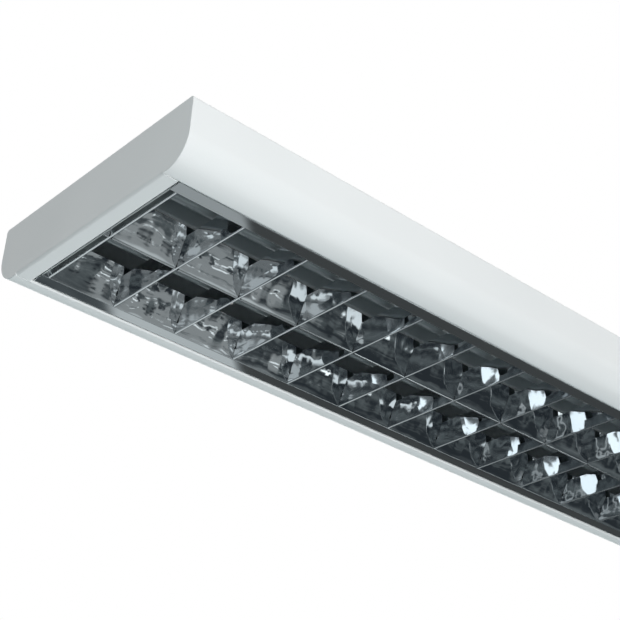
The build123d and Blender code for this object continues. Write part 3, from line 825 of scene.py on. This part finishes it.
def inside_blade(middle, normal):
    """Whether a face looks into the V of the blade that it belongs to."""
    offset = middle.x - min(stations, key=lambda station: abs(station - middle.x))
    return abs(offset) > BLADE_SHEET and normal.x * offset < -abs(offset) / 2


dull(blades, inside_blade)
print("plain faces:", sum(face.material_index for face in blades.data.polygons))

# %% [markdown]
# ## Louvre ends
#
# The last blade at each end is part of an end piece: a low wall stands close beyond it, carries the pivot
# pin and is joined to the blade by a narrow web in each channel. The blade is a copy of the one that the
# row repeats. The webs and the wall are plain plates, welded on with Booleans, and the pin's hole is cut
# last. Nobody looks at the wall, so it keeps the dull side of the sheet.

# %% Louvre ends
END_WALL = 11.0
WALL_SHEET = 0.8
PIN_HOLE = 1.27


def end_plates():
    """Wall at the far end of the louvre, and the webs that join it to the last blade."""
    reach = louvre_edge - MIRROR_SHEET
    yield box_prism((louvre_end - WALL_SHEET, -reach, louvre_base + MIRROR_SHEET),
                    (louvre_end, reach, louvre_base + END_WALL))
    web_start = stations[-1] + blade_half(END_WALL) - BLADE_SHEET / 2
    rises = (END_WALL - WALL_SHEET, END_WALL)
    inner = [(RIDGE_FOOT / 2 + flank_lean(rise) + BLADE_FIT, louvre_base + rise) for rise in rises]
    outer = [(channel_edge - flank_lean(rise) - BLADE_FIT, louvre_base + rise) for rise in rises]
    for side in (-1, 1):
        yield prism([(side * y, z) for y, z in inner + outer[::-1]], web_start, louvre_end - WALL_SHEET / 2)


def behind_blade(middle):
    """Whether a place is on the wall or the webs, beyond the last blade."""
    beyond = abs(middle.x) > stations[-1] + blade_half(END_WALL)
    return beyond and middle.z < louvre_base + END_WALL + BLADE_FIT


end_far = add_object("louvre_end_piece_far", blade.data.copy())
end_far.data.transform(Matrix.Translation((stations[-1] * MM, 0, 0)))
bpy.data.objects.remove(blade)
for plate in end_plates():
    combine(end_far, plate, "UNION")
combine(end_far, drill(louvre_end, pivot_y, pivot_z, PIN_HOLE, axis="X"), "DIFFERENCE")
end_near = mirrored(end_far, "louvre_end_piece_near", (1, 0, 0))
for piece, name in ((end_far, "far"), (end_near, "near")):
    shade(piece)
    place(piece, "louvre", "mirror_aluminium", f"louvre_end_{name}")
    dull(piece, lambda middle, normal: inside_blade(middle, normal) or behind_blade(middle))

# %% [markdown]
# ## Lamps
#
# Each lamp is a thin glass tube, white inside with phosphor, in two crimped aluminium caps. Turned parts
# like these come from one profile that is swept round the axis, so a small lathe function makes both.

# %% A lathe
LATHE_SIDES = 40


def lathe(profile, y, z):
    """Closed mesh: a closed profile of places along X and radii, turned about an axis."""
    rings = []
    for step in range(LATHE_SIDES):
        angle = 2 * math.pi * step / LATHE_SIDES
        across = math.cos(angle)
        upward = math.sin(angle)
        rings.append([(x, y + radius * across, z + radius * upward) for x, radius in profile])
    return skin(rings, joined=True)


# %% Profile of a lamp cap
CAP_WALL = 0.3
CAP_GAP = 0.02
CAP_LENGTH = 12.0
CAP_END = 2.0
CAP_EDGE = 0.1
CAP_ROUND = 0.8
CAP_HUB = 0.4
CAP_STEPS = 3
CRIMP_DEPTH = 0.18
CRIMP_PLACE = 7.8
CRIMP_WIDTH = 1.6
CRIMP_SLOPE = 0.4


def cap_profile(tube_end, radius):
    """Closed profile of a lamp cap: a thin wall with a crimp round the tube, and a flat end."""
    outer = radius + CAP_WALL
    inner = radius + CAP_GAP
    face = tube_end + CAP_END
    crimp_back = CRIMP_PLACE + CRIMP_WIDTH
    crimp = [(crimp_back, 0), (crimp_back - CRIMP_SLOPE, CRIMP_DEPTH),
             (CRIMP_PLACE + CRIMP_SLOPE, CRIMP_DEPTH), (CRIMP_PLACE, 0)]
    corners = [((face - CAP_LENGTH, inner), 0), ((face - CAP_LENGTH, outer), CAP_EDGE)]
    corners += [((face - back, outer - depth), CAP_EDGE) for back, depth in crimp]
    corners += [((face, outer), CAP_ROUND), ((face, CAP_HUB), 0)]
    corners += [((tube_end, CAP_HUB), 0), ((tube_end, inner), 0)]
    return rounded(corners, CAP_STEPS, closed=True)


def add_twin(thing):
    """Join an object with its mirror image at the other end of the light."""
    twin = mirrored(thing, "twin", (1, 0, 0))
    pair = bmesh.new()
    pair.from_mesh(thing.data)
    pair.from_mesh(twin.data)
    pair.to_mesh(thing.data)
    pair.free()
    bpy.data.objects.remove(twin)


# %% Lamp tubes and caps
TUBE_WALL = 0.8

for side in ("front", "rear"):
    low, high = measured(f"lamp_{side}_tube")
    lamp_y = (low.y + high.y) / 2
    lamp_z = (low.z + high.z) / 2
    radius = (high.z - low.z) / 2
    bore = radius - TUBE_WALL
    tube_profile = [(-high.x, bore), (-high.x, radius), (high.x, radius), (high.x, bore)]
    tube = raw_object(f"lamp_tube_{side}", lathe(tube_profile, lamp_y, lamp_z))
    shade(tube)
    place(tube, f"lamp_{side}", "lamp_glass", f"lamp_{side}_tube")
    caps = raw_object(f"lamp_caps_{side}", lathe(cap_profile(high.x, radius), lamp_y, lamp_z))
    add_twin(caps)
    shade(caps)
    place(caps, f"lamp_{side}", "lamp_cap", f"lamp_{side}_caps")

# %% [markdown]
# ## The parts inside
#
# Lampholders, springs, gear and leads are hidden until the louvre swings down. Their solids are fine as
# they are, so each only gets the finish of its slot.

# %% Finishes on the other solids
slot_of = {part["node"]: part["material_slot"] for part in frame["record"]["subparts"]}
dressed = 0
for name, node in frame["nodes"].items():
    if not node.hide_render:
        node.data.materials.clear()
        node.data.materials.append(finishes[slot_of[name]])
        dressed += 1
print("solids with a new finish:", dressed)

# %% [markdown]
# ## Camera
#
# The camera stands low in front of the near end and looks up at the light with a long lens. Its place,
# its turn and its slight roll make the edges of the body fall where they do in the picture.

# %% Camera
CAMERA_PLACE = (-1.0083, -0.7584, -0.5969)
CAMERA_AZIMUTH = math.radians(50.257)
CAMERA_RISE = math.radians(29.884)
CAMERA_ROLL = math.radians(3.499)
CAMERA_LENS = 81.85
CAMERA_SENSOR = 36.0

ahead = Vector((math.cos(CAMERA_RISE) * math.cos(CAMERA_AZIMUTH),
                math.cos(CAMERA_RISE) * math.sin(CAMERA_AZIMUTH), math.sin(CAMERA_RISE)))
level = ahead.cross(Vector((0, 0, 1))).normalized()
upright = level.cross(ahead)
right = math.cos(CAMERA_ROLL) * level + math.sin(CAMERA_ROLL) * upright
up = math.cos(CAMERA_ROLL) * upright - math.sin(CAMERA_ROLL) * level
lens = bpy.data.cameras.new("camera")
lens.lens = CAMERA_LENS
lens.sensor_width = CAMERA_SENSOR
camera = add_object("camera", lens)
camera.matrix_world = Matrix.Translation(CAMERA_PLACE) @ Matrix((right, up, -ahead)).transposed().to_4x4()
bpy.context.scene.camera = camera
print("camera at", CAMERA_PLACE)

# %% [markdown]
# ## Light
#
# A mirror louvre is made to hide what comes in at a low angle, and the soft lamps use that: they stand
# round the light a little below its level. They brighten the white sides and rims, and the blades keep
# most of them out of the lamp bay, which stays as dark as a lamp bay does when the lamps are off. The
# mirrors don't show these lamps, because what they show is drawn in the world below.

# %% Soft lamps
LAMP_SIZE = (1.6, 0.16)
NEUTRAL = (1.0, 1.0, 1.0)
COOL = (0.92, 1.0, 1.0)
SOFT_LAMPS = {
    "front_lamp": ((-0.65, -2.10, -0.83), 0.64, NEUTRAL),
    "rear_lamp": ((0.00, 2.10, -0.92), 0.52, COOL),
    "near_lamp": ((-1.10, -0.62, -0.28), 0.135, COOL),
    "far_lamp": ((4.40, 0.00, -1.40), 0.72, COOL),
}


def soft_lamp(name, spot, light, tint):
    """Area lamp that lights a white card in the middle, turned to it, to a share of white."""
    area = bpy.data.lights.new(name, "AREA")
    area.shape = "RECTANGLE"
    area.size, area.size_y = LAMP_SIZE
    area.energy = light * math.pi ** 2 * Vector(spot).length_squared
    area.color = tint
    lamp = add_object(name, area)
    lamp.location = spot
    lamp.rotation_mode = "QUATERNION"
    lamp.rotation_quaternion = (-lamp.location).to_track_quat("-Z", "Y")
    lamp.visible_camera = False
    lamp.visible_glossy = False
    print(f"{name}: {area.energy:.1f} W")


for name, (spot, light, tint) in SOFT_LAMPS.items():
    soft_lamp(name, spot, light, tint)

# %% [markdown]
# ## World
#
# The world has two jobs. For soft light it is a sky that is brighter overhead and dark below. For the
# mirrors it is a room, which could be built of planes, but they would also light and shade the body. So
# the room is drawn by direction: white above the level of the light, a dark uneven floor below it, and
# panels of different tones. A panel is a window from one azimuth to another and from one rise to another.
# Both angles wobble by a noise, because rolled sheet shows no straight edge.

# %% Directions in the world
WOBBLE = math.radians(8)
WOBBLE_SCALE = 9.0
WOBBLE_DETAIL = 3.0

world = bpy.data.worlds.new("studio")
bpy.context.scene.world = world
world.use_nodes = True
tree = world.node_tree
tree.nodes.clear()
links = tree.links
direction = add_node(tree, "ShaderNodeTexCoord")
parts = add_node(tree, "ShaderNodeSeparateXYZ")
links.new(direction.outputs["Generated"], parts.inputs["Vector"])


def worked_out(operation, *values):
    """Output of a math node whose inputs are sockets or plain numbers."""
    node = add_node(tree, "ShaderNodeMath", operation=operation)
    for socket, value in zip(node.inputs, values):
        if isinstance(value, float):
            socket.default_value = value
        else:
            links.new(value, socket)
    return node.outputs["Value"]


rise = worked_out("ARCSINE", parts.outputs["Z"])
azimuth = worked_out("ARCTAN2", parts.outputs["Y"], parts.outputs["X"])
wobble = add_node(tree, "ShaderNodeTexNoise", {"Scale": WOBBLE_SCALE, "Detail": WOBBLE_DETAIL})
links.new(direction.outputs["Generated"], wobble.inputs["Vector"])
sways = add_node(tree, "ShaderNodeSeparateColor")
links.new(wobble.outputs["Color"], sways.inputs["Color"])


def wavy(angle, sway):
    """Angle that sways a little from one direction to the next."""
    swing = add_node(tree, "ShaderNodeMapRange", {"To Min": -WOBBLE / 2, "To Max": WOBBLE / 2})
    swing.clamp = False
    links.new(sway, swing.inputs["Value"])
    return worked_out("ADD", angle, swing.outputs["Result"])


wavy_azimuth = wavy(azimuth, sways.outputs["Red"])
wavy_rise = wavy(rise, sways.outputs["Green"])
print(f"angles wobble within {math.degrees(WOBBLE):.0f} degrees")

# %% [markdown]
# A mask is one inside a panel and nothing outside it, with a soft edge between. A panel may lean: a share
# of the rise is added to its azimuth. One without a lean keeps straight edges, for the flat flanges of the
# louvre. Patches come from a noise that is cut off between two values.

# %% Masks and mixes
PATCH_STRETCH = (1.0, 1.0, 0.45)


def step_up(value, start, end):
    """Value that climbs from nothing to one between two angles in degrees."""
    limits = {"From Min": math.radians(start), "From Max": math.radians(end)}
    ramp = add_node(tree, "ShaderNodeMapRange", limits)
    links.new(value, ramp.inputs["Value"])
    return ramp.outputs["Result"]


def both(first, second):
    """Product of two masks."""
    return worked_out("MULTIPLY", first, second)


def panel_mask(azimuths, rises, soft, lean):
    """Mask of a panel in the room, by its directions as seen from the light."""
    straight = lean is None
    across = azimuth if straight else worked_out("MULTIPLY_ADD", wavy_rise, lean, wavy_azimuth)
    upward = rise if straight else wavy_rise
    sides = []
    for value, (low, high) in ((across, azimuths), (upward, rises)):
        sides.append(both(step_up(value, low - soft, low + soft), step_up(value, high + soft, high - soft)))
    return both(*sides)


def speckle(scale, detail, start, end):
    """Upright patches over the directions, sharp where start and end are close."""
    drawn_up = add_node(tree, "ShaderNodeVectorMath", operation="MULTIPLY")
    drawn_up.inputs[1].default_value = PATCH_STRETCH
    noise = add_node(tree, "ShaderNodeTexNoise", {"Scale": scale, "Detail": detail})
    edge = add_node(tree, "ShaderNodeMapRange", {"From Min": start, "From Max": end})
    links.new(direction.outputs["Generated"], drawn_up.inputs[0])
    links.new(drawn_up.outputs["Vector"], noise.inputs["Vector"])
    links.new(noise.outputs["Fac"], edge.inputs["Value"])
    return edge.outputs["Result"]


def blend(factor, first, second):
    """Mix two colours, each a colour or a socket."""
    mix = add_node(tree, "ShaderNodeMix", data_type="RGBA")
    links.new(factor, mix.inputs["Factor"])
    for name, colour in (("A", first), ("B", second)):
        if isinstance(colour, tuple):
            mix.inputs[name].default_value = colour
        else:
            links.new(colour, mix.inputs[name])
    return mix.outputs["Result"]


# %% [markdown]
# Each panel has its azimuths, its rises and its soft edge in degrees, its lean, and its tone as a share of
# white. The dark ones among those that lean or wobble are walls. They are broken into ragged patches with
# a few bright shards, as a reflection in bent sheet is.

# %% The room in the mirrors
WHITE = (1, 1, 1, 1)
HORIZON = 2
FLOOR_DARK = (0.022, 0.028, 0.033, 1)
FLOOR_LIGHT = (0.115, 0.135, 0.140, 1)
FLOOR_PATCHES = {"scale": 16.0, "detail": 2.0, "start": 0.40, "end": 0.70}
WALL_LIMIT = 0.4
WALL_PATCHES = {"scale": 22.0, "detail": 3.0, "start": 0.38, "end": 0.43}
SHARD = (0.80, 0.88, 0.90, 1)
SHARD_PATCHES = {"scale": 24.0, "detail": 2.0, "start": 0.62, "end": 0.65}
PANEL_TINT = (0.89, 0.98, 1.0)
PANELS = {
    "front wall": ((-69.4, -62.6), (-60, -8), 0.8, 0.32, 0.27),
    "corner wall": ((-117.0, -100.0), (-54, -20), 1.0, 0.0, 0.21),
    "near wall": ((-118.5, -109.5), (-46, -14), 1.0, -0.8, 0.20),
    "wall top": ((-66, -56), (-16, -11), 1.0, 0.0, 0.50),
    "lamp glow": ((-38, -14), (-53, -39), 2.0, 0.0, 0.25),
    "far lamp": ((-34.5, -17), (-50, -40), 0.8, 0.0, 1.6),
    "far spot": ((-36, -32), (-32, -28), 0.5, 0.0, 1.5),
    "middle spot": ((-46, -43.5), (-35.5, -32.5), 0.4, 0.0, 1.3),
    "side strip": ((-111.5, -108.5), (-32, -21), 0.5, -1.75, 0.42),
    "blade bar": ((-152, -145), (-37.8, -35.8), 0.4, 0.0, 0.9),
    "rear strip": ((-143, -138), (-34, -28), 0.5, 0.0, 0.5),
    "low strip": ((-168, -162), (-50, -46.5), 0.5, 0.0, 0.45),
    "side spot": ((-125, -118), (-49, -41.5), 0.5, 0.0, 0.9),
    "flange card": ((53.4, 59.5), (-31, -22), 0.3, None, 0.50),
    "low flange card": ((53.4, 59.5), (-40, -31.5), 0.3, None, 0.34),
    "flange floor": ((30, 53.4), (-42, -18), 0.3, None, 0.058),
    "edge light": ((66, 130), (-50, -12), 2.0, 0.0, 0.62),
    "ridge light": ((0, 45), (-80, -53), 3.0, 0.0, 0.6),
}

room = blend(speckle(**FLOOR_PATCHES), FLOOR_DARK, FLOOR_LIGHT)
ragged = speckle(**WALL_PATCHES)
shards = speckle(**SHARD_PATCHES)
for azimuths, rises, soft, lean, tone in PANELS.values():
    mask = panel_mask(azimuths, rises, soft, lean)
    colour = (*[tone * share for share in PANEL_TINT], 1)
    if tone < WALL_LIMIT and lean is not None:
        room = blend(both(mask, ragged), room, colour)
        room = blend(both(mask, shards), room, SHARD)
    else:
        room = blend(mask, room, colour)
room = blend(step_up(rise, -HORIZON, HORIZON), room, WHITE)
print("panels:", ", ".join(PANELS))

# %% [markdown]
# Light Path sorts the rays: mirrors and glass see the room, the light itself comes from the soft sky, and
# the camera sees plain white behind the object.

# %% Sky and backdrop
SKY_RISES = (20, 80)
SKY_EDGE = 4
SKY_LOW = (0.11, 0.118, 0.12, 1)
SKY_HIGH = (1.00, 1.03, 1.03, 1)
GROUND = (0.088, 0.112, 0.124, 1)

sky = blend(step_up(rise, *SKY_RISES), SKY_LOW, SKY_HIGH)
soft_light = blend(step_up(rise, -SKY_EDGE, SKY_EDGE), GROUND, sky)
path = add_node(tree, "ShaderNodeLightPath")
seen = worked_out("MAXIMUM", path.outputs["Is Glossy Ray"], path.outputs["Is Transmission Ray"])
lit = blend(seen, soft_light, room)
shown = blend(path.outputs["Is Camera Ray"], lit, WHITE)
backdrop = add_node(tree, "ShaderNodeBackground")
links.new(shown, backdrop.inputs["Color"])
output = add_node(tree, "ShaderNodeOutputWorld")
links.new(backdrop.outputs["Background"], output.inputs["Surface"])
print("world:", len(tree.nodes), "nodes")

# %% [markdown]
# ## Floor
#
# A ceiling light hangs over a plain pale floor, a room's height below. The camera sees it as white as the
# backdrop, so no line parts the two, and the mirrors go on showing the room that is drawn above.

# %% Floor
FLOOR_DROP = 3.3
FLOOR_HALF = 15.0

floor_sheet = bmesh.new()
floor_corners = ((-FLOOR_HALF, -FLOOR_HALF), (FLOOR_HALF, -FLOOR_HALF), (FLOOR_HALF, FLOOR_HALF),
                 (-FLOOR_HALF, FLOOR_HALF))
floor_sheet.faces.new([floor_sheet.verts.new((x, y, -FLOOR_DROP)) for x, y in floor_corners])
floor = raw_object("floor", floor_sheet)
floor.visible_diffuse = False
floor.visible_glossy = False
floor.visible_transmission = False
floor_paint = bpy.data.materials.new("floor_paint")
floor_paint.use_nodes = True
floor_shader = floor_paint.node_tree.nodes["Principled BSDF"]
floor_shader.inputs["Base Color"].default_value = (0, 0, 0, 1)
floor_shader.inputs["Specular IOR Level"].default_value = 0.0
floor_shader.inputs["Emission Color"].default_value = WHITE
floor_shader.inputs["Emission Strength"].default_value = 1.0
floor.data.materials.append(floor_paint)
print("floor:", FLOOR_DROP, "m below the ceiling")

# %% [markdown]
#
# The Standard view shows colours as they are written.

bpy.context.scene.view_settings.view_transform = "Standard"
